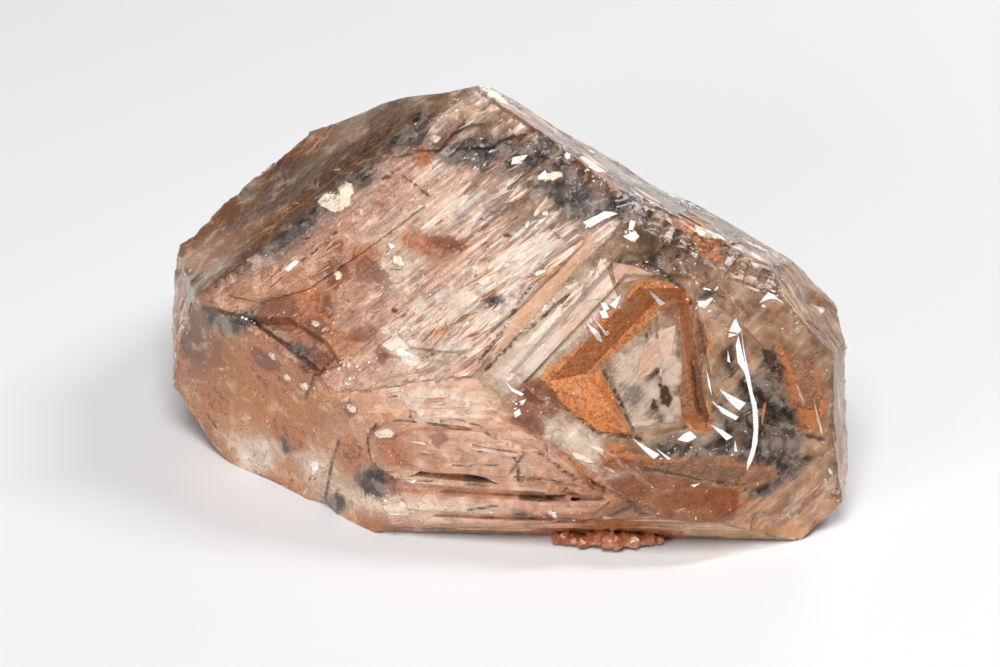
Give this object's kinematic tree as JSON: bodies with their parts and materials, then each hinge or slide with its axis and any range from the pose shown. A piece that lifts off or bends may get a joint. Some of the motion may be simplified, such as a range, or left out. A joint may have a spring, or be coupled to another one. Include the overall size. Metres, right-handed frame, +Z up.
{
  "type": "window quartz crystal",
  "caption": "Squat skeletal quartz crystal with a three-sided window hollow, terraced front, combed upper face and iron-stained clear body, lying on a flat growth face.",
  "frame": {"origin": "under the middle of the crystal's box, on the surface it rests on", "axes": "+Z up, +X along the crystal's length with the window at its +X end, -Y the terraced front"},
  "size_m": [0.0667, 0.0477, 0.0372],
  "materials": {
    "quartz": "clear to milky, combed and frosted outside, stained orange-brown by iron inside"
  },
  "bodies": {
    "root": {"window_quartz_crystal": "quartz"}
  },
  "joints": []
}
